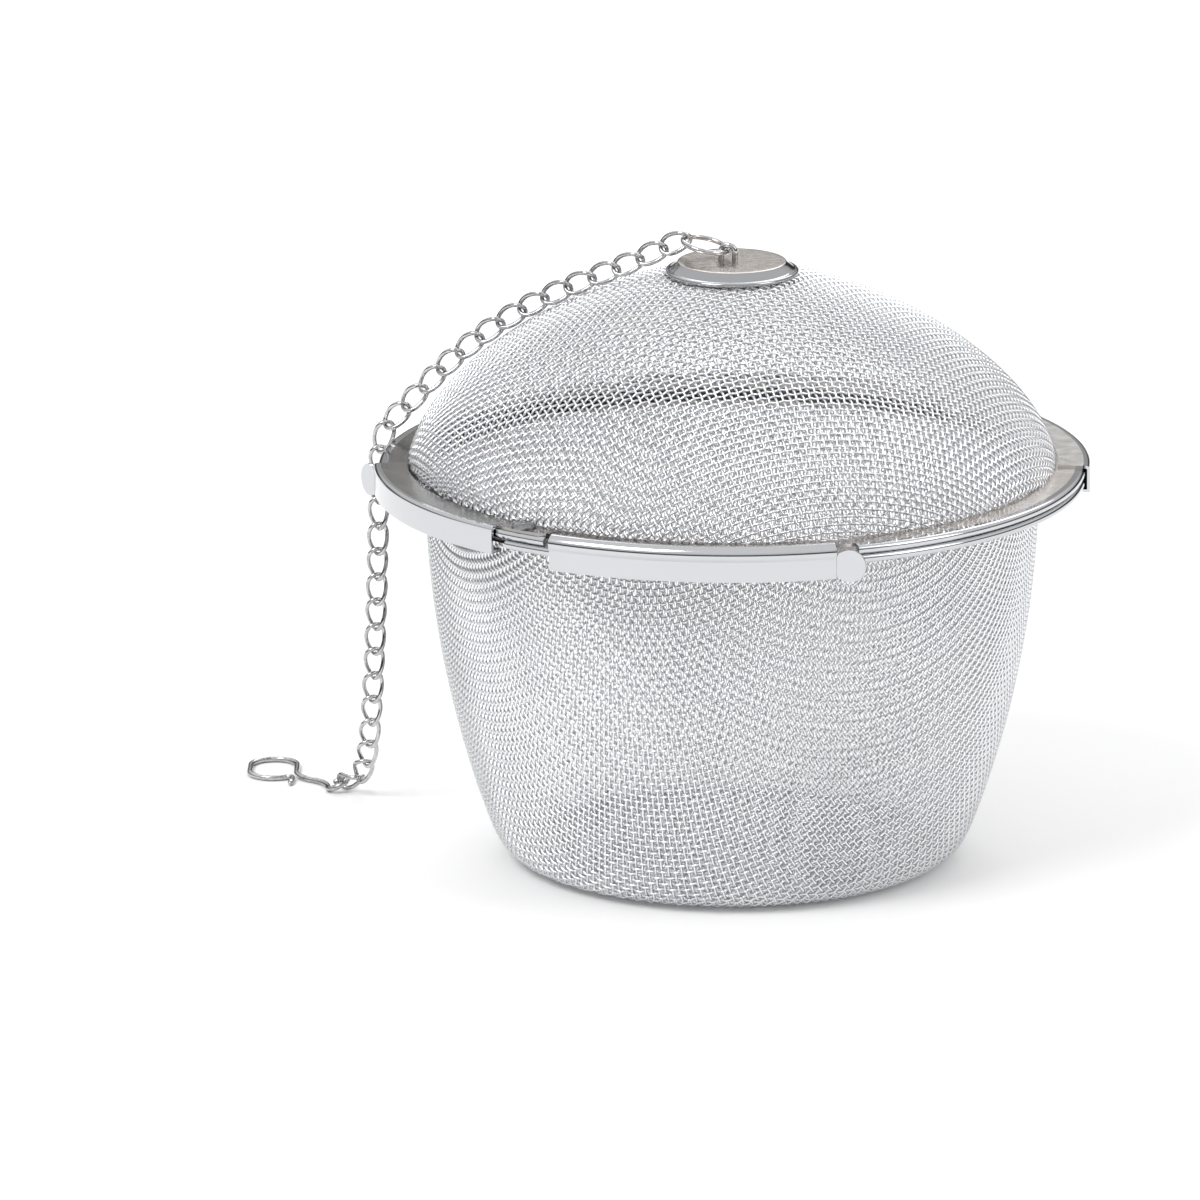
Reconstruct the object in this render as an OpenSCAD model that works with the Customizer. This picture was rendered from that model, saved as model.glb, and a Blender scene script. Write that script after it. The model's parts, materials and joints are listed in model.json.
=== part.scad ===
// Twist-lock tea infuser: a mesh cup, a domed mesh lid and a hook on a curb chain.
// The cup stands on z = 0 with its axis on Z. The front is -Y and the right is +X.

/* [Cup] */
// outer radius of the cup's wall where it meets its rim
cup_top_r = 47.7; // [40:0.1:55]
// radius of the large arc that the wall follows
cup_wall_arc_r = 155; // [120:1:400]
// radius of the rounded edge round the flat bottom
cup_corner_r = 7; // [3:0.5:12]
// height of the underside of the cup's flange
cup_h = 60.4; // [50:0.1:80]
// thickness of the woven mesh, two wires deep
mesh_t = 0.7; // [0.4:0.05:1.2]

/* [Dome] */
// outer radius of the dome where it meets the lid's flange
dome_r = 50.4; // [40:0.1:55]
// rise of the dome above the lid's flange
dome_rise = 31.3; // [15:0.1:45]
// exponent of the dome's outline: 2 is an ellipse, 1 is a cone
dome_power = 1.62; // [1.2:0.01:2.2]

/* [Rims] */
// overall radius of both rims
rim_r = 55; // [50:0.1:60]
// radius of the rolled edge round each rim
roll_r = 0.7; // [0.4:0.05:1.2]
// thickness of each rim's flange
flange_t = 0.5; // [0.3:0.05:1]
// running gap between the two rolled edges
rim_gap = 0.05; // [0.02:0.01:0.2]
// radius that a flange is cut back to where a clip passes it
notch_r = 53.1; // [52:0.1:54]

/* [Clips] */
// thickness of the clips' sheet metal
clip_t = 0.45; // [0.3:0.05:0.8]
// azimuth where the lid's front clip starts
lid_clip_start = 183; // [170:1:200]
// azimuth where its skirt ends and its tongue goes on
lid_clip_end = 229; // [210:1:235]
// azimuth where its tongue ends
tongue_end = 239; // [230:0.5:239]
// azimuth where the cup's front clip starts
cup_clip_start = 240; // [236:1:250]
// azimuth where the cup's front clip ends
cup_clip_end = 286.5; // [270:0.5:300]
// diameter of the round thumb tabs
tab_d = 5; // [3:0.1:8]
// angle that a thumb tab is bent outwards
tab_flare = 27; // [0:1:45]
// diameter of a rivet's head
rivet_head_d = 3.8; // [2.5:0.1:4]

/* [Cap] */
// diameter of the stamped cap over its rolled edge
cap_d = 20.7; // [15:0.1:30]
// diameter of the cap's flat top
cap_top_d = 16.7; // [10:0.1:20]
// height of the cap's flat top, the top of the metalwork
cap_z = 95; // [85:0.1:110]
// wire of the staple that holds the jump ring
staple_wire = 0.9; // [0.6:0.05:1.2]
// wire of the jump ring
ring_wire = 0.85; // [0.6:0.05:1]
// centreline radius of the jump ring
ring_r = 3.6; // [3:0.05:4.5]

/* [Chain] */
// distance from one link to the next
link_pitch = 4.3; // [4:0.05:5]
// wire of a link
link_wire = 0.7; // [0.5:0.05:0.8]
// half of a link's width, to the middle of its wire
link_half_w = 1.45; // [1.3:0.05:1.8]
// how far a link's corners are twisted out of its plane
link_twist = 0.58; // [0.4:0.02:0.8]
// wire of the hook
hook_wire = 0.95; // [0.7:0.05:1.2]

/* [Hidden] */
$fn = 96;
wall_steps = 16;
dome_steps = 22;
link_rings = 24;
wire_sides = 8;

// heights of the rims, from the cup's flange up
cup_flange_top = cup_h + flange_t;
cup_roll_z = cup_flange_top - 0.05;
lid_roll_z = cup_roll_z + 2 * roll_r + rim_gap;
lid_flange_top = lid_roll_z + roll_r;
roll_mid_r = rim_r - roll_r;

// a chain link: its ends reach past its two junctions so that neighbours interlock
link_slack = 0.18;
link_half_l = (link_pitch + link_wire + link_slack) / 2;

// The chain's route, by hand: [azimuth, dip below level, lean about its own axis] for each link.
// It comes down the dome, goes over the rims, hangs in a curve and ends just above the table.
chain_az = 163;
dome_dips = [27, 27, 26, 23, 25, 27, 30, 33, 37, 40, 44, 47, 48, 46];
rim_dip = 72;
hanging_links = 13;
hanging_az = 105;
hanging_rise = 14.5;
hanging_curve = 6;
foot_headings = [[115, 48, 50], [135, 22, 40]];
chain_headings = concat(
    [for (i = [0 : len(dome_dips) - 1]) [chain_az, dome_dips[i], lean(i)]],
    [[chain_az, rim_dip, lean(14)]],
    [for (i = [0 : hanging_links - 1]) [hanging_az, hanging_dip(i), lean(15 + i)]],
    foot_headings);
link_count = len(chain_headings);
function lean(i) = i % 2 == 0 ? -4 : 4;
function hanging_dip(i) = atan((hanging_rise - i) * link_pitch / hanging_curve);

// first junction, at the jump ring, and each later one a pitch along its link's heading
chain_start = [7.3 * cos(chain_az), 7.3 * sin(chain_az), 98.2];
function level(az) = [cos(az), sin(az), 0];
function heading(h) = cos(h[1]) * level(h[0]) - [0, 0, sin(h[1])];
function junction(k) = k == 0 ? chain_start : junction(k - 1) + link_pitch * heading(chain_headings[k - 1]);

// the side that a link's width lies along: upright on the dome, radial where it hangs, level at the foot
function side_guide(k) = k <= len(dome_dips)
    ? sin(chain_headings[k][1]) * level(chain_az) + [0, 0, cos(chain_headings[k][1])]
    : (k <= len(dome_dips) + hanging_links
        ? level(chain_az)
        : level(chain_headings[k][0] + 90));
function unit(v) = v / norm(v);
function link_u(k) = heading(chain_headings[k]);
function link_flat(k) = unit(side_guide(k) - (side_guide(k) * link_u(k)) * link_u(k));
function link_w(k) = cos(chain_headings[k][2]) * link_flat(k)
    + sin(chain_headings[k][2]) * cross(link_u(k), link_flat(k));

// staple and jump ring: the ring goes through the staple and the first link
staple_r = 1.1;
staple_out = 0.65;
staple_rise = 1.35;
ring_reach = 0.52;
staple_at = staple_out * level(chain_az) + [0, 0, cap_z + staple_rise];
ring_far = junction(0) + ring_reach * heading(chain_headings[0]);
ring_u = unit(staple_at - ring_far);
ring_mid = ring_far + ring_r * ring_u;
ring_tilt = asin(-ring_u[2]);

// washer inside the dome, and the staple's feet bent out under it
washer_r = 7;
washer_hole_r = 2.5;
washer_z = 91.9;
washer_t = 0.8;
foot_gap = 0.05;
foot_z = washer_z - staple_wire / 2 - foot_gap;
foot_bend_r = 0.7;
foot_l = 2.6;

// hook: an eye through the last link, then an S-shaped shank and an open loop, flat on the table.
// shank_from is the lowest point of the eye, where the shank leaves it.
hook_z = hook_wire / 2 + 0.02;
eye_r = 1.7;
eye_tilt = 25;
eye_turn = 298;
shank_from = [-64.4, 33.38, hook_z];
hook_steps = [[5.4, 60], [5.4, -60], [0, 3.7], [3.75, 180], [0, 3.5], [3.75, 120], [0.9, -125], [0, 3]];

function link_name(i) = str("chain_link_", i < 10 ? "0" : "", i);

// ---------- outlines ----------

// the cup's outer radius at height z
function cup_r(z) = cup_top_r - cup_wall_arc_r + sqrt(pow(cup_wall_arc_r, 2) - pow(cup_h - z, 2));
// where the rounded edge runs into the wall
corner_turn = 69;
corner_top_z = cup_corner_r * (1 - cos(corner_turn));
corner_mid_r = cup_r(corner_top_z) - cup_corner_r * sin(corner_turn);

// points of the rounded edge and wall, inset by t
function cup_side(t) = concat(
    [for (i = [0 : 8]) let (a = corner_turn * i / 8)
        [corner_mid_r + (cup_corner_r - t) * sin(a), cup_corner_r - (cup_corner_r - t) * cos(a)]],
    [for (i = [1 : wall_steps]) let (z = corner_top_z + (cup_h - corner_top_z) * i / wall_steps)
        [cup_r(z) - t * (i == wall_steps ? 1 : 1.02), z]]);

// points of the dome's outline, inset by t, from the flange to the axis
function dome_side(t) = [for (i = [0 : dome_steps]) let (a = 90 * i / dome_steps)
    [(dome_r - t) * pow(cos(a), 2 / dome_power),
     lid_flange_top + (dome_rise - t) * pow(sin(a), 2 / dome_power)]];

function reversed(list) = [for (i = [len(list) - 1 : -1 : 0]) list[i]];

// ---------- shared shapes ----------

// sweeps a flat outline round Z from azimuth a to azimuth b
module sweep(a, b) {
    rotate([0, 0, a])
        rotate_extrude(angle = b - a)
            children();
}

// a ring of rectangular section from radius r0 to r1 and height z0 to z1
module band(r0, r1, z0, z1, a = 0, b = 360) {
    sweep(a, b)
        translate([r0, z0])
            square([r1 - r0, z1 - z0]);
}

// a rim: a flange with a rolled edge, cut back over each span of azimuths
module rim(inner_r, flange_z, roll_z, notches) {
    difference() {
        union() {
            band(inner_r, roll_mid_r, flange_z, flange_z + flange_t);
            rotate_extrude()
                translate([roll_mid_r, roll_z])
                    circle(r = roll_r);
        }
        for (n = notches)
            band(notch_r, rim_r + 1, flange_z - 3, flange_z + 3, n[0], n[1]);
    }
}

// a round thumb tab at azimuth a, in line with a skirt of outer radius r; side is 1 towards higher azimuths
module thumb_tab(a, r, side) {
    tab_z = cup_h - 0.1;
    reach = tab_d / 2 - 0.4;
    rotate([0, 0, a])
        translate([r - clip_t / 2, 0, tab_z])
            rotate([0, 0, side * (90 - tab_flare)])
                translate([reach, 0, 0])
                    rotate([90, 0, 0])
                        translate([0, 0, side > 0 ? -clip_t : 0])
                            cylinder(d = tab_d, h = clip_t);
}

// ---------- cup ----------

module basket_mesh() {
    color("#c9ccd0")
        rotate_extrude()
            polygon(concat([[0, 0]], cup_side(0), reversed(cup_side(mesh_t)), [[0, mesh_t]]));
}

module basket_rim() {
    color("#d6d6d4")
        rim(cup_top_r - mesh_t - 0.1, cup_h, cup_roll_z,
            [for (turn = [0, 180]) [lid_clip_start - 10 + turn, lid_clip_end + 2 + turn]]);
}

// The cup's clip curls over the lid's rolled edge and hangs down outside both rims.
module cup_clip_shape(a, b) {
    curl_in = 1;
    curl_out = curl_in + clip_t;
    skirt_bottom = 58.3;
    lip_in = 0.4;
    difference() {
        sweep(a, b)
            translate([roll_mid_r, lid_roll_z])
                circle(r = curl_out);
        sweep(a - 1, b + 1)
            translate([roll_mid_r, lid_roll_z])
                circle(r = curl_in);
        band(roll_mid_r - 3, roll_mid_r - 0.65, lid_roll_z - 3, lid_roll_z + 3, a - 1, b + 1);
        band(roll_mid_r - 3, rim_r, lid_roll_z - 3, lid_roll_z - 0.5, a - 1, b + 1);
    }
    band(rim_r, rim_r + clip_t, skirt_bottom, lid_roll_z - 0.72, a, b);
    band(roll_mid_r - lip_in, rim_r + clip_t, skirt_bottom, skirt_bottom + clip_t, a, b);
}

module basket_clip() {
    color("#e4e5e7") {
        cup_clip_shape(cup_clip_start, cup_clip_end);
        thumb_tab(cup_clip_end, rim_r + clip_t, 1);
    }
}

module basket_clip_back() {
    longer = 2.5;
    color("#e4e5e7")
        cup_clip_shape(cup_clip_start - 180, cup_clip_end - 180 + longer);
}

// ---------- lid ----------

module lid_mesh() {
    color("#c9ccd0")
        difference() {
            rotate_extrude()
                polygon(concat(dome_side(0), reversed(dome_side(mesh_t))));
            staple_holes();
        }
}

module lid_rim() {
    color("#d3cdc4")
        difference() {
            rim(dome_r - 0.9, lid_flange_top - flange_t, lid_roll_z,
                [for (turn = [0, 180]) [cup_clip_start - 1.4 + turn, cup_clip_end + 4 + turn]]);
            rivet_hole(rivet_az);
            rivet_hole(rivet_az + 180);
        }
}

rivet_az = 233;
rivet_at_r = 52.5;
rivet_shank_d = 1.5;
rivet_tail_t = 0.5;
rivet_tail_d = 2;
rivet_play = 0.04;

module rivet_hole(az) {
    rotate([0, 0, az])
        translate([rivet_at_r, 0, lid_flange_top - 2])
            cylinder(d = rivet_shank_d, h = 4);
}

// The lid's clip lies on the lid's flange, hangs outside both rims and hooks under the cup's rolled edge.
module lid_clip_shape(a, b) {
    plate_in = dome_r + 0.25;
    skirt_in = rim_r + 0.25;
    skirt_out = skirt_in + clip_t;
    plate_top = lid_flange_top + clip_t;
    edge_r = 0.6;
    crease = 0.15;
    lip_z = 59.2;
    lip_r = notch_r + 0.3;
    edge = [for (t = [0 : 15 : 90])
        [skirt_out - edge_r * (1 - cos(t)), plate_top - edge_r * (1 - sin(t))]];
    difference() {
        union() {
            sweep(a, b)
                polygon(concat([[plate_in, plate_top], [plate_in, lid_flange_top],
                                [skirt_in - crease, lid_flange_top], [skirt_in, lid_flange_top - crease],
                                [skirt_in, lip_z + clip_t], [lip_r, lip_z + clip_t], [lip_r, lip_z],
                                [skirt_out, lip_z]], edge));
            tongue(b - 1, b + tongue_end - lid_clip_end, plate_in + 0.1, plate_top);
        }
        rivet_hole(b + rivet_az - lid_clip_end);
    }
}

// the narrow end of the plate, round at its tip, that the rivet holds
module tongue(a, b, inner_r, plate_top) {
    half_w = 1.8;
    middle_r = inner_r + half_w;
    tip_az = b - half_w / middle_r * 180 / PI;
    steps = 6;
    outer = [for (i = [0 : steps]) (middle_r + half_w) * point_at(a + (tip_az - a) * i / steps)];
    tip = [for (t = [15 : 15 : 165]) middle_r * point_at(tip_az) + half_w * point_at(tip_az + t)];
    inner = [for (i = [steps : -1 : 0]) inner_r * point_at(a + (tip_az - a) * i / steps)];
    translate([0, 0, lid_flange_top])
        linear_extrude(height = plate_top - lid_flange_top)
            polygon(concat(outer, tip, inner));
}

function point_at(az) = [cos(az), sin(az)];

module lid_clip() {
    color("#dcdde0") {
        lid_clip_shape(lid_clip_start, lid_clip_end);
        thumb_tab(lid_clip_start, rim_r + 0.25 + clip_t, -1);
    }
}

module lid_clip_back() {
    longer = 8;
    color("#dcdde0")
        lid_clip_shape(lid_clip_start + 180 - longer, lid_clip_end + 180);
}

module rivet(az) {
    plate_top = lid_flange_top + clip_t;
    flange_low = lid_flange_top - flange_t;
    head_h = 0.8;
    head_r = rivet_head_d / 2;
    color("#e9e9ea")
        rotate([0, 0, az])
            translate([rivet_at_r, 0, 0]) {
                translate([0, 0, flange_low - rivet_tail_t])
                    cylinder(d = rivet_tail_d, h = rivet_tail_t);
                translate([0, 0, flange_low - 0.01])
                    cylinder(d = rivet_shank_d - rivet_play, h = plate_top - flange_low + 0.02);
                translate([0, 0, plate_top])
                    rotate_extrude()
                        polygon([[0, 0], [head_r, 0], [head_r, 0.25], [head_r - 0.3, 0.55],
                                 [head_r - 0.9, head_h], [0, head_h]]);
            }
}

module lid_rivet() {
    rivet(rivet_az);
}

module lid_rivet_back() {
    rivet(rivet_az - 180);
}

// ---------- cap, washer, staple ----------

module staple_legs(d, z0, z1) {
    for (side = [-1, 1])
        rotate([0, 0, chain_az])
            translate([staple_out + side * staple_r, 0, z0])
                cylinder(d = d, h = z1 - z0);
}

module staple_holes() {
    staple_legs(staple_wire, foot_z, cap_z + 1);
}

module top_cap() {
    top_r = cap_top_d / 2;
    out_r = cap_d / 2;
    color("#b9b4ac")
        difference() {
            rotate_extrude()
                polygon([[0, cap_z - 0.5], [top_r - 0.3, cap_z - 0.5], [top_r + 0.35, cap_z - 1.0],
                         [out_r - 0.75, cap_z - 1.95], [out_r - 0.25, cap_z - 2.05], [out_r, cap_z - 1.8],
                         [out_r, cap_z - 1.45], [out_r - 0.35, cap_z - 1.2], [top_r + 0.75, cap_z - 0.6],
                         [top_r + 0.35, cap_z - 0.15], [top_r, cap_z], [0, cap_z]]);
            staple_holes();
        }
}

module inner_washer() {
    color("#c4c4c4")
        rotate_extrude()
            translate([washer_hole_r, washer_z])
                square([washer_r - washer_hole_r, washer_t]);
}

// an inverted U of wire through the cap and the dome, with its feet bent out under the washer
module staple() {
    color("#cfcfd1") {
        staple_legs(staple_wire, foot_z + foot_bend_r, staple_at[2]);
        rotate([0, 0, chain_az])
            translate([staple_out, 0, staple_at[2]])
                rotate([90, 0, 0])
                    rotate_extrude(angle = 180)
                        translate([staple_r, 0])
                            circle(d = staple_wire);
        for (turn = [0, 180])
            rotate([0, 0, chain_az])
                translate([staple_out, 0, foot_z + foot_bend_r])
                    rotate([0, 0, turn])
                        translate([staple_r + foot_bend_r, 0, 0]) {
                            rotate([90, 0, 0])
                                rotate([0, 0, 180])
                                    rotate_extrude(angle = 90)
                                        translate([foot_bend_r, 0])
                                            circle(d = staple_wire);
                            translate([0, 0, -foot_bend_r])
                                rotate([0, 90, 0])
                                    cylinder(d = staple_wire, h = foot_l);
                        }
    }
}

// ---------- jump ring, chain, hook ----------

module jump_ring() {
    color("#bdbdc0")
        translate(ring_mid)
            rotate([0, 0, chain_az])
                rotate([0, -ring_tilt, 0])
                    rotate_extrude()
                        translate([ring_r, 0])
                            circle(d = ring_wire);
}

// a tube of wire along a path, with one corner of its section towards the guide; a loop has no ends
module wire_tube(path, guide, d, loop) {
    n = len(path);
    rows = [for (i = [0 : n - 1]) let (
        before = path[loop ? (i + n - 1) % n : max(i - 1, 0)],
        after = path[loop ? (i + 1) % n : min(i + 1, n - 1)],
        along = unit(after - before),
        out = unit(cross(along, guide)),
        up = cross(out, along))
        [for (s = [0 : wire_sides - 1]) let (a = 360 * s / wire_sides)
            path[i] + d / 2 * (cos(a) * out + sin(a) * up)]];
    sides = [for (i = [0 : n - (loop ? 1 : 2)]) for (s = [0 : wire_sides - 1]) let (
        j = (i + 1) % n,
        q = (s + 1) % wire_sides)
        [i * wire_sides + s, i * wire_sides + q, j * wire_sides + q, j * wire_sides + s]];
    ends = loop ? [] : [
        [for (s = [wire_sides - 1 : -1 : 0]) s],
        [for (s = [0 : wire_sides - 1]) (n - 1) * wire_sides + s]];
    polyhedron(points = [for (row = rows) for (point = row) point], faces = concat(sides, ends));
}

module chain_link(k) {
    u = link_u(k);
    w = link_w(k);
    n = cross(u, w);
    middle = (junction(k) + junction(k + 1)) / 2;
    path = [for (i = [0 : link_rings - 1]) let (t = 360 * i / link_rings)
        middle + link_half_l * cos(t) * u + link_half_w * sin(t) * w + link_twist * sin(2 * t) * n];
    color("#b9babd")
        wire_tube(path, n, link_wire, true);
}

// points of a level run of wire from p at azimuth az: each step is [radius, turn] or [0, length]
function run(p, az, steps, i = 0) = i == len(steps) ? [] : let (
    r = steps[i][0],
    turn = r > 0 ? steps[i][1] : 0,
    points = r > 0 ? arc(p, az, r, turn) : [p + steps[i][1] * level(az)])
    concat(points, run(points[len(points) - 1], az + turn, steps, i + 1));

// points of an arc that starts at p and azimuth az, and turns left or, where the turn is negative, right
function arc(p, az, r, turn) = let (
    side = sign(turn),
    middle = p + side * r * level(az + 90),
    count = ceil(abs(turn) / 15))
    [for (i = [1 : count]) middle - side * r * level(az + turn * i / count + 90)];

module hook() {
    eye_count = 20;
    eye = [for (i = [eye_count : -1 : 0]) let (a = 180 + eye_turn * i / eye_count, x = eye_r * (1 + cos(a)))
        shank_from + [x * cos(eye_tilt), eye_r * sin(a), x * sin(eye_tilt)]];
    color("#bfc0c2")
        wire_tube(concat(eye, run(shank_from, 90, hook_steps)), [0, 0, 1], hook_wire, false);
}

basket_mesh();
basket_rim();
basket_clip();
basket_clip_back();
lid_mesh();
lid_rim();
lid_clip();
lid_clip_back();
lid_rivet();
lid_rivet_back();
top_cap();
inner_washer();
staple();
jump_ring();
for (i = [1 : link_count])
    chain_link(i - 1);
hook();
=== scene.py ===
import json
import math

import bpy
import numpy as np
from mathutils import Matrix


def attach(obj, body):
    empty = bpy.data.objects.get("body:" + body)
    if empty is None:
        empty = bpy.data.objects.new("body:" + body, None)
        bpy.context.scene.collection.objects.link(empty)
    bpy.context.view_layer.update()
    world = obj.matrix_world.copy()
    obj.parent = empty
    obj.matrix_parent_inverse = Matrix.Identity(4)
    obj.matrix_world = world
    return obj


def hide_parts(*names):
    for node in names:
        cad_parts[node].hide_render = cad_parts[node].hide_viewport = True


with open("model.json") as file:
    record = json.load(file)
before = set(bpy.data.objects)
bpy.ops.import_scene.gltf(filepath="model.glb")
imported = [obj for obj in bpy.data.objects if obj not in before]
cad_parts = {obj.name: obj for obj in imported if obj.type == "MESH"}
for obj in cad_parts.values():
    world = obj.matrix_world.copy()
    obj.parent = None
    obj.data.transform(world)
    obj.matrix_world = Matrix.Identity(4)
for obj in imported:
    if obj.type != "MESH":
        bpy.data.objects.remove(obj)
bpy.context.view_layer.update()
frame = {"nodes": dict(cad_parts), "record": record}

MM = 0.001


# ---------- camera, floor, light ----------

def aim(obj, target):
    direction = np.array(target) - np.array(obj.location)
    x, y, z = direction
    obj.rotation_euler = (math.atan2(math.hypot(x, y), -z), 0.0, math.atan2(-x, y))


def make_camera():
    data = bpy.data.cameras.new("camera")
    cam = bpy.data.objects.new("camera", data)
    bpy.context.scene.collection.objects.link(cam)
    cam.location = (0.0, -1.75, 0.515)
    aim(cam, (0.0, 0.0, 0.0406))
    data.sensor_width = 36.0
    data.lens = 349.0
    data.shift_x = -0.11
    data.clip_start = 0.05
    data.clip_end = 50.0
    bpy.context.scene.camera = cam


def area_light(name, at, target, size, power, color=(1.0, 1.0, 1.0)):
    data = bpy.data.lights.new(name, "AREA")
    data.shape = "RECTANGLE"
    data.size, data.size_y = size
    data.energy = power
    data.color = color
    light = bpy.data.objects.new(name, data)
    bpy.context.scene.collection.objects.link(light)
    light.location = at
    aim(light, target)


class Nodes:
    """A node tree, with short calls to add nodes and join them."""

    def __init__(self, tree):
        self.tree = tree
        tree.nodes.clear()

    def add(self, kind, inputs=None, **settings):
        node = self.tree.nodes.new(kind)
        for key, value in settings.items():
            setattr(node, key, value)
        for key, value in (inputs or {}).items():
            socket = node.inputs[key]
            if isinstance(value, bpy.types.NodeSocket):
                self.tree.links.new(value, socket)
            else:
                socket.default_value = value
        return node

    def math(self, operation, a, b=0.0):
        return self.add("ShaderNodeMath", {0: a, 1: b}, operation=operation).outputs[0]

    def ramp(self, value, stops):
        node = self.add("ShaderNodeValToRGB", {"Fac": value})
        elements = node.color_ramp.elements
        while len(elements) < len(stops):
            elements.new(0.5)
        for element, (at, color) in zip(elements, stops):
            element.position = at
            element.color = (*color, 1.0)
        return node.outputs["Color"]


def grey(v):
    return (v, v, v)


def make_world():
    world = bpy.data.worlds.new("studio")
    bpy.context.scene.world = world
    world.use_nodes = True
    n = Nodes(world.node_tree)
    where = n.add("ShaderNodeTexCoord").outputs["Generated"]
    axes = n.add("ShaderNodeSeparateXYZ", {0: where}).outputs
    height = n.math("MULTIPLY_ADD", axes["Z"], 0.5)
    height.node.inputs[2].default_value = 0.5
    sky = n.ramp(height, [(0.0, grey(0.5)), (0.49, grey(0.25)), (0.52, grey(0.04)), (0.595, grey(0.07)),
                          (0.65, grey(0.72)), (0.74, grey(0.95)), (0.84, grey(1.0)), (1.0, grey(1.0))])
    lit = n.add("ShaderNodeBackground", {"Color": sky, "Strength": 0.95})
    backdrop = n.ramp(height, [(0.0, grey(0.8)), (0.52, grey(0.8)), (0.60, grey(1.0)), (1.0, grey(1.0))])
    seen = n.add("ShaderNodeBackground", {"Color": backdrop, "Strength": 1.0})
    ray = n.add("ShaderNodeLightPath").outputs["Is Camera Ray"]
    mix = n.add("ShaderNodeMixShader", {0: ray, 1: lit.outputs[0], 2: seen.outputs[0]})
    n.add("ShaderNodeOutputWorld", {"Surface": mix.outputs[0]})


def make_floor():
    half = 6.0
    corners = [(-half, -half, 0), (half, -half, 0), (half, half, 0), (-half, half, 0)]
    mesh = bpy.data.meshes.new("floor")
    mesh.from_pydata(corners, [], [(0, 1, 2, 3)])
    floor = bpy.data.objects.new("floor", mesh)
    bpy.context.scene.collection.objects.link(floor)
    mat = bpy.data.materials.new("floor_paper")
    mat.use_nodes = True
    n = Nodes(mat.node_tree)
    where = n.add("ShaderNodeTexCoord").outputs["Object"]
    grain = n.add("ShaderNodeTexNoise", {"Vector": where, "Scale": 3.0, "Detail": 2.0}).outputs["Fac"]
    tone = n.ramp(grain, [(0.3, grey(0.93)), (0.7, grey(0.95))])
    bsdf = n.add("ShaderNodeBsdfPrincipled", {"Base Color": tone, "Roughness": 0.9, "Specular IOR Level": 0.1})
    n.add("ShaderNodeOutputMaterial", {"Surface": bsdf.outputs[0]})
    mesh.materials.append(mat)


# ---------- materials ----------

def metal(name, low, high, roughness, grain=900.0, bump=0.15, turned=None, blotch=0.0, left_shade=1.0,
          edge=None, under_shade=None):
    """Steel with a fine grain. turned lays the grain out by azimuth and radius.

    left is painted shade: the tone of the side towards -X against the side towards +X, darker where less light
    falls. edge is the radius where a smoother edge begins, with that edge's tone and roughness. dips is
    painted shade: the tone of a woven wire where it passes under another, darker where the other wire shades
    it.
    """
    mat = bpy.data.materials.new(name)
    mat.use_nodes = True
    n = Nodes(mat.node_tree)
    where = n.add("ShaderNodeTexCoord").outputs["Object"]
    axes = n.add("ShaderNodeSeparateXYZ", {0: where}).outputs
    x_squared = n.math("MULTIPLY", axes["X"], axes["X"])
    y_squared = n.math("MULTIPLY", axes["Y"], axes["Y"])
    radius = n.math("SQRT", n.math("ADD", x_squared, y_squared))
    if turned:
        angle = n.math("ARCTAN2", axes["Y"], axes["X"])
        grain_at = n.add("ShaderNodeCombineXYZ", {
            0: n.math("MULTIPLY", angle, turned[0]),
            1: n.math("MULTIPLY", radius, turned[1]),
            2: n.math("MULTIPLY", axes["Z"], turned[1])}).outputs[0]
        fine = n.add("ShaderNodeTexNoise", {"Vector": grain_at, "Scale": 1.0, "Detail": 4.0, "Roughness": 0.6})
    else:
        fine = n.add("ShaderNodeTexNoise", {"Vector": where, "Scale": grain, "Detail": 3.0, "Roughness": 0.6})
    fine = fine.outputs["Fac"]
    broad = n.add("ShaderNodeTexNoise", {"Vector": where, "Scale": 55.0, "Detail": 2.0}).outputs["Fac"]
    mixed = n.math("MULTIPLY_ADD", broad, blotch)
    mixed.node.inputs[2].default_value = 0.0
    n.tree.links.new(n.math("MULTIPLY", fine, 1.0 - blotch), mixed.node.inputs[2])
    color = n.ramp(mixed, [(0.34, low), (0.62, high)])
    rough = n.add("ShaderNodeMapRange", {"Value": fine, "From Min": 0.3, "From Max": 0.7,
                                         "To Min": roughness[0], "To Max": roughness[1]}).outputs[0]
    # Painted shade: the colour is scaled down towards -X, darkest on the side towards -X, standing in for less
    # light falling there; it turns with the part.
    if left_shade != 1.0:
        tone = n.add("ShaderNodeMapRange", {"Value": axes["X"], "From Min": -0.052, "From Max": 0.045,
                                            "To Min": left_shade, "To Max": 1.0}).outputs[0]
        color = n.add("ShaderNodeVectorMath", {0: color, "Scale": tone}, operation="SCALE").outputs["Vector"]
    # Painted shade: the wire's colour is darker where it passes under the other family, standing in for the
    # shade the crossing wire casts.
    if under_shade:
        over = n.add("ShaderNodeAttribute", attribute_name="over").outputs["Fac"]
        tone = n.add("ShaderNodeMapRange", {"Value": over, "To Min": under_shade, "To Max": 1.0}).outputs[0]
        color = n.add("ShaderNodeVectorMath", {0: color, "Scale": tone}, operation="SCALE").outputs["Vector"]
    if edge:
        edge_r, edge_tone, edge_rough = edge
        outside = n.math("GREATER_THAN", radius, edge_r)
        smoother = (edge_tone, edge_tone * 1.015, edge_tone * 1.05, 1.0)
        mixed_color = n.add("ShaderNodeMix", {"Factor": outside, 6: color, 7: smoother}, data_type="RGBA")
        color = mixed_color.outputs[2]
        rough = n.add("ShaderNodeMix", {"Factor": outside, 2: rough, 3: edge_rough}).outputs[0]
    relief = n.add("ShaderNodeBump", {"Height": fine, "Strength": bump, "Distance": 0.00004}).outputs[0]
    bsdf = n.add("ShaderNodeBsdfPrincipled", {
        "Base Color": color, "Metallic": 1.0, "Roughness": rough, "Normal": relief})
    n.add("ShaderNodeOutputMaterial", {"Surface": bsdf.outputs[0]})
    return mat


# ---------- mesh helpers ----------

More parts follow.
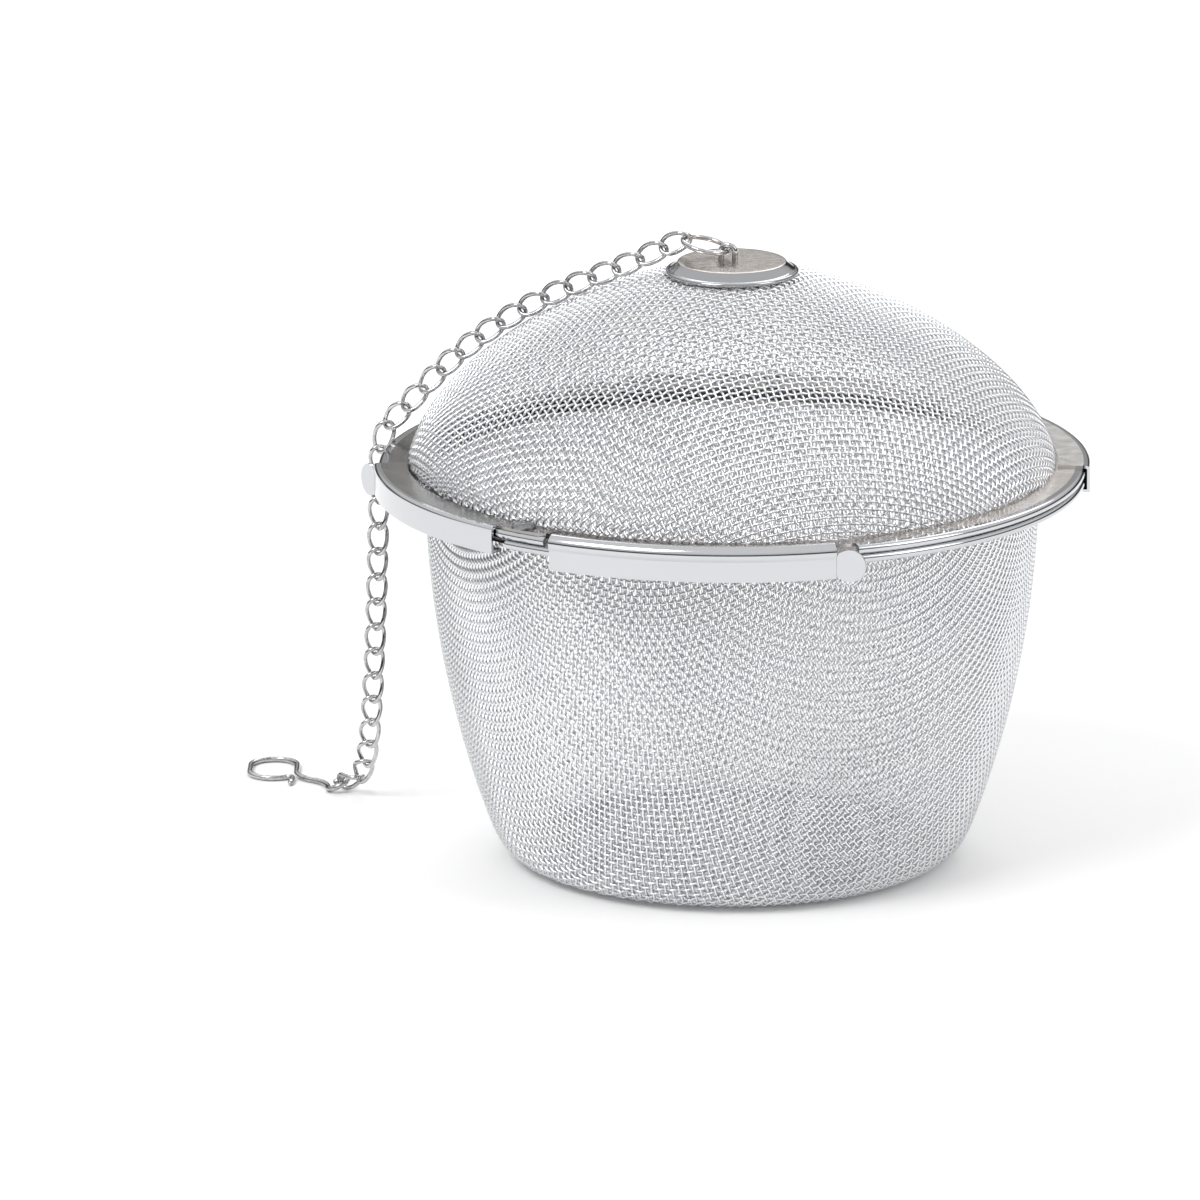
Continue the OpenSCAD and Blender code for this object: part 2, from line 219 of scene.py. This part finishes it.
def add_object(name, verts_mm, quads, material, body, stands_for=(), smooth=True):
    mesh = bpy.data.meshes.new(name)
    verts = np.asarray(verts_mm, dtype=np.float32) * MM
    mesh.from_pydata(verts.tolist(), [], [tuple(q) for q in quads])
    mesh.validate()
    mesh.update()
    if smooth:
        mesh.polygons.foreach_set("use_smooth", np.ones(len(mesh.polygons), dtype=bool))
    mesh.materials.append(material)
    obj = bpy.data.objects.new(name, mesh)
    bpy.context.scene.collection.objects.link(obj)
    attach(obj, body)
    if stands_for:
        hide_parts(*stands_for)
    return obj


def unit_rows(v):
    return v / np.linalg.norm(v, axis=-1, keepdims=True)


def tube(path, guide, radius, sides, loop=False, taper_ends=0):
    """Points and faces of a round wire along a path. guide is a direction, or one for each point."""
    path = np.asarray(path, dtype=float)
    count = len(path)
    radii = np.full(count, float(radius))
    if loop:
        along = np.roll(path, -1, 0) - np.roll(path, 1, 0)
    else:
        along = np.gradient(path, axis=0)
    along = unit_rows(along)
    guide = np.broadcast_to(np.asarray(guide, dtype=float), path.shape)
    out = unit_rows(np.cross(along, guide))
    up = np.cross(out, along)
    turn = 2 * np.pi * np.arange(sides) / sides
    if taper_ends and not loop:
        rounded = np.sin(np.linspace(0.25, 1.0, taper_ends) * np.pi / 2)
        radii[:taper_ends] *= rounded
        radii[-taper_ends:] *= rounded[::-1]
    ring = out[:, None, :] * np.cos(turn)[None, :, None] + up[:, None, :] * np.sin(turn)[None, :, None]
    verts = path[:, None, :] + ring * radii[:, None, None]
    spans = count if loop else count - 1
    i = np.arange(spans)[:, None] * sides
    j = ((np.arange(spans) + 1) % count)[:, None] * sides
    s = np.arange(sides)[None, :]
    q = (s + 1) % sides
    faces = np.stack([i + s, j + s, j + q, i + q], -1).reshape(-1, 4).tolist()
    if not loop:
        faces.append(list(range(sides)))
        faces.append([(count - 1) * sides + k for k in range(sides - 1, -1, -1)])
    return verts.reshape(-1, 3), faces


def lathe(outline, count):
    """Points and faces of a closed outline, which starts and ends on the axis, turned about Z."""
    outline = np.asarray(outline, dtype=float)
    a = 2 * np.pi * np.arange(count) / count
    r, z = outline[1:-1].T
    levels = np.repeat(z[:, None], count, 1)
    ring = np.stack([np.outer(r, np.cos(a)), np.outer(r, np.sin(a)), levels], -1)
    verts = np.concatenate([ring.reshape(-1, 3), [[0, 0, outline[0][1]], [0, 0, outline[-1][1]]]])
    rows, first, last = len(r), len(verts) - 2, len(verts) - 1
    faces = []
    for k in range(count):
        m = (k + 1) % count
        faces.append((first, k, m))
        for i in range(rows - 1):
            above, below = i * count, (i + 1) * count
            faces.append((above + k, below + k, below + m, above + m))
        faces.append((last, (rows - 1) * count + m, (rows - 1) * count + k))
    return verts, faces


# ---------- woven wire ----------

class Surface:
    """A surface of revolution, from points of its outline, from the axis outwards."""

    def __init__(self, outline):
        self.r, self.z = np.asarray(outline, dtype=float).T
        step = np.hypot(np.diff(self.r), np.diff(self.z))
        self.s = np.concatenate([[0.0], np.cumsum(step)])
        dr = np.gradient(self.r, self.s)
        dz = np.gradient(self.z, self.s)
        self.nr, self.nz = -dz, dr

    @property
    def length(self):
        return self.s[-1]

    def at(self, x, y, height):
        s, azimuth = np.hypot(x, y), np.arctan2(y, x)
        r = np.interp(s, self.s, self.r)
        z = np.interp(s, self.s, self.z)
        nr = np.interp(s, self.s, self.nr)
        nz = np.interp(s, self.s, self.nz)
        normal = np.stack([nr * np.cos(azimuth), nr * np.sin(azimuth), nz], -1)
        point = np.stack([r * np.cos(azimuth), r * np.sin(azimuth), z], -1)
        return point + height[:, None] * normal, normal


def weave(surface, pitch, wire_d, turn_deg, family, steps):
    """All wires of one family of a plain weave laid out flat and pressed on to the surface.

    The last thing it gives is how far each point is over the other family, from 0 to 1.
    """
    verts, faces, over, start = [], [], [], 0
    reach = surface.length
    c, s = math.cos(math.radians(turn_deg)), math.sin(math.radians(turn_deg))
    count = int(reach / pitch)
    sides = 4
    for j in range(-count, count + 1):
        v = j * pitch
        half = math.sqrt(max(reach * reach - v * v, 0.0))
        k = int(half / (pitch / steps))
        if k < 2:
            continue
        u = np.arange(-k, k + 1) * (pitch / steps)
        wave = np.cos(np.pi * (u / pitch + j)) * wire_d * 0.5
        x, y, lift = (u, np.full_like(u, v), wave) if family == 0 else (np.full_like(u, v), u, -wave)
        points, normals = surface.at(x * c - y * s, x * s + y * c, lift)
        tube_verts, tube_faces = tube(points, normals, wire_d / 2, sides)
        verts.append(tube_verts)
        over.append(np.repeat(0.5 + lift / wire_d, sides))
        faces.extend([[f + start for f in face] for face in tube_faces])
        start += len(tube_verts)
    return np.concatenate(verts), faces, np.concatenate(over)


MESH_T = 0.7
LID_TOP = 63.0


def dome_outline():
    a = np.radians(np.linspace(90, 0, 600))
    r = (50.4 - MESH_T / 2) * np.cos(a) ** (2 / 1.62)
    z = LID_TOP - 0.2 + (31.3 - MESH_T / 2 + 0.2) * np.sin(a) ** (2 / 1.62)
    return np.stack([r, z], 1)


def cup_outline():
    top_r, arc_r, corner_r, height, turn = 47.7, 155.0, 7.0, 60.4, math.radians(69)

    def wall_r(z):
        return top_r - arc_r + np.sqrt(arc_r ** 2 - (height - z) ** 2)

    corner_z = corner_r * (1 - math.cos(turn))
    corner_at = wall_r(corner_z) - corner_r * math.sin(turn)
    middle = MESH_T / 2 + 0.08
    a = np.linspace(0, turn, 40)
    z = np.linspace(corner_z, height + 0.1, 120)[1:]
    flat = np.stack([np.linspace(0, corner_at, 60)[:-1], np.full(59, middle)], 1)
    bend_r = corner_r - middle
    corner = np.stack([corner_at + bend_r * np.sin(a), corner_r - bend_r * np.cos(a)], 1)
    wall = np.stack([wall_r(z) - MESH_T / 2, z], 1)
    return np.concatenate([flat, corner, wall])


def cap_outline():
    """A flat top, a step down and a rolled edge, and back to the axis underneath."""
    bends = np.radians(np.linspace(0, 60, 7))
    rolls = np.radians(np.linspace(110, -110, 23))
    shoulder = [(8.2 + 0.35 * math.sin(t), 94.65 + 0.35 * math.cos(t)) for t in bends]
    roll = [(9.99 + 0.36 * math.cos(t), 93.4 + 0.36 * math.sin(t)) for t in rolls]
    return [(0, 95), (4, 95), (7.6, 95), *shoulder, (8.95, 94.42), (9.3, 94.16), (9.6, 93.86), *roll,
            (9.45, 93.3), (8.7, 94.0), (8.05, 94.45), (4, 94.5), (0, 94.5)]


# ---------- chain ----------

CHAIN_AZ = 163
CHAIN_START_R = 7.3
CHAIN_START_Z = 98.2
LINK_PITCH = 4.3
LINK_WIRE_D = 0.7
LINK_SLACK = 0.18
LINK_HALF_W = 1.45
LINK_TWIST = 0.58
DOME_DIPS = [27, 27, 26, 23, 25, 27, 30, 33, 37, 40, 44, 47, 48, 46]
RIM_DIP = 72
HANGING = 13
HANGING_AZ = 105
HANGING_RISE = 14.5
HANGING_CURVE = 6
FOOT = [(115, 48, 50), (135, 22, 40)]


def level(az):
    return np.array([math.cos(math.radians(az)), math.sin(math.radians(az)), 0.0])


UP = np.array([0.0, 0.0, 1.0])


def chain_headings():
    def lean(i):
        return -4 if i % 2 == 0 else 4

    rows = [(CHAIN_AZ, dip, lean(i), "dome") for i, dip in enumerate(DOME_DIPS)]
    rows.append((CHAIN_AZ, RIM_DIP, lean(14), "dome"))
    for i in range(HANGING):
        dip = math.degrees(math.atan((HANGING_RISE - i) * LINK_PITCH / HANGING_CURVE))
        rows.append((HANGING_AZ, dip, lean(15 + i), "hang"))
    rows.extend((*row, "foot") for row in FOOT)
    return rows


def chain_links():
    """For each link: its middle, its heading, its width's direction and the normal to its plane."""
    junction = CHAIN_START_R * level(CHAIN_AZ) + CHAIN_START_Z * UP
    links = []
    for az, dip, lean, zone in chain_headings():
        d, t = math.radians(dip), math.radians(lean)
        u = math.cos(d) * level(az) - math.sin(d) * UP
        guide = {"dome": math.sin(d) * level(CHAIN_AZ) + math.cos(d) * UP,
                 "hang": level(CHAIN_AZ),
                 "foot": level(az + 90)}[zone]
        flat = guide - (guide @ u) * u
        flat = flat / np.linalg.norm(flat)
        w = math.cos(t) * flat + math.sin(t) * np.cross(u, flat)
        after = junction + LINK_PITCH * u
        links.append(((junction + after) / 2, u, w, np.cross(u, w)))
        junction = after
    return links


def link_path(middle, u, w, n, count=56):
    half_l = (LINK_PITCH + LINK_WIRE_D + LINK_SLACK) / 2
    t = 2 * np.pi * np.arange(count) / count
    return (middle + np.outer(half_l * np.cos(t), u) + np.outer(LINK_HALF_W * np.sin(t), w)
            + np.outer(LINK_TWIST * np.sin(2 * t), n))


def body_of_link(k):
    for body, nodes in frame["record"]["behaviour"]["bodies"].items():
        if f"chain_link_{k:02d}" in nodes:
            return body


# ---------- hook ----------

HOOK_WIRE_D = 0.95
HOOK_Z = 0.495
# bends of the shank, as radius and turn, or 0 and a length for a straight run
HOOK_STEPS = [(5.4, 60), (5.4, -60), (0, 3.7), (3.75, 180), (0, 3.5), (3.75, 120), (0.9, -125), (0, 3)]


def hook_path():
    eye_r, tilt = 1.7, math.radians(25)
    start = np.array([-64.4, 33.38, HOOK_Z])
    points = []
    for a in np.radians(np.linspace(478, 180, 60)):
        x = eye_r * (1 + math.cos(a))
        points.append(start + [x * math.cos(tilt), eye_r * math.sin(a), x * math.sin(tilt)])
    at, az = start, 90.0
    for r, amount in HOOK_STEPS:
        if r == 0:
            points.extend(at + level(az) * amount * i / 6 for i in range(1, 7))
            at = at + level(az) * amount
            continue
        side = 1 if amount > 0 else -1
        middle = at + side * r * level(az + 90)
        count = math.ceil(abs(amount) / 6)
        points.extend(middle - side * r * level(az + amount * i / count + 90) for i in range(1, count + 1))
        az += amount
        at = points[-1]
    return np.array(points)


# ---------- making ----------

make_camera()
make_world()
make_floor()
area_light("key", (-0.9, -0.9, 1.5), (0, 0, 0.05), (0.9, 0.7), 16.0)
area_light("fill", (1.2, -0.5, 0.9), (0, 0, 0.05), (0.7, 0.9), 4.5)
area_light("back", (0.2, 1.3, 1.1), (0, 0, 0.05), (1.2, 0.5), 6.0)

scene = bpy.context.scene
scene.view_settings.view_transform = "Standard"

# The woven steel paints shade (dips=0.88) on each wire where it passes under the other wire.
mesh_steel = metal("woven_steel", (0.84, 0.85, 0.885), (0.98, 0.985, 1.0), (0.12, 0.22),
                   grain=2200.0, bump=0.08, blotch=0.35, under_shade=0.88)
wire_steel = metal("polished_wire", (0.36, 0.36, 0.37), (0.62, 0.61, 0.61), (0.08, 0.18),
                   grain=1800.0, bump=0.08, blotch=0.3)
# The rim's side towards -X is painted darker (left=0.22): painted shade standing in for less light from that
# side.
rim_steel = metal("rim_steel", (0.66, 0.62, 0.58), (0.80, 0.76, 0.72), (0.20, 0.28), bump=0.06,
                  turned=(420.0, 60.0), blotch=0.08, left_shade=0.22, edge=(0.0534, 0.56, 0.07))
# The clips' side towards -X is painted darker (left=0.24): painted shade standing in for less light from that
# side.
clip_steel = metal("clip_steel", (0.74, 0.72, 0.69), (0.84, 0.82, 0.79), (0.20, 0.27), grain=300.0,
                   bump=0.03, blotch=0.3, left_shade=0.24, edge=(0.0546, 0.56, 0.12))
rivet_steel = metal("rivet_steel", (0.16, 0.16, 0.17), (0.28, 0.28, 0.29), (0.20, 0.30), bump=0.06, blotch=0.4)
cap_steel = metal("cap_steel", (0.58, 0.54, 0.50), (0.68, 0.64, 0.60), (0.22, 0.28), bump=0.02,
                  turned=(12.0, 900.0), blotch=0.25, edge=(0.0084, 0.40, 0.09))

nodes = frame["nodes"]
for names, material in (
        (("basket_rim", "lid_rim"), rim_steel),
        (("basket_clip", "basket_clip_back", "lid_clip", "lid_clip_back"), clip_steel),
        (("lid_rivet", "lid_rivet_back"), rivet_steel),
        (("inner_washer",), cap_steel),
        (("staple", "jump_ring"), wire_steel)):
    for name in names:
        data = nodes[name].data
        data.materials.clear()
        data.materials.append(material)

dome = Surface(dome_outline())
cup = Surface(cup_outline())
WIRE_D = 0.42
PITCH = 1.15
STEPS = 2
for label, family in (("warp", 0), ("weft", 1)):
    for surface, turn_deg, part, body in ((dome, 18, "lid", "lid"), (cup, -18, "basket", "basket")):
        verts, faces, over = weave(surface, PITCH, WIRE_D, turn_deg, family, STEPS)
        obj = add_object(f"{part}_{label}", verts, faces, mesh_steel, body, (f"{part}_mesh",))
        obj.data.attributes.new("over", "FLOAT", "POINT").data.foreach_set("value", over.astype(np.float32))

verts, faces = lathe(cap_outline(), 180)
add_object("cap_pressed", verts, faces, cap_steel, "lid", ("top_cap",))

for k, (middle, u, w, n) in enumerate(chain_links(), start=1):
    verts, faces = tube(link_path(middle, u, w, n), n, LINK_WIRE_D / 2, 12, loop=True)
    add_object(f"link_{k:02d}_wire", verts, faces, wire_steel, body_of_link(k), (f"chain_link_{k:02d}",))

verts, faces = tube(hook_path(), UP, HOOK_WIRE_D / 2, 16, taper_ends=3)
add_object("hook_wire", verts, faces, wire_steel, "hook_body", ("hook",))
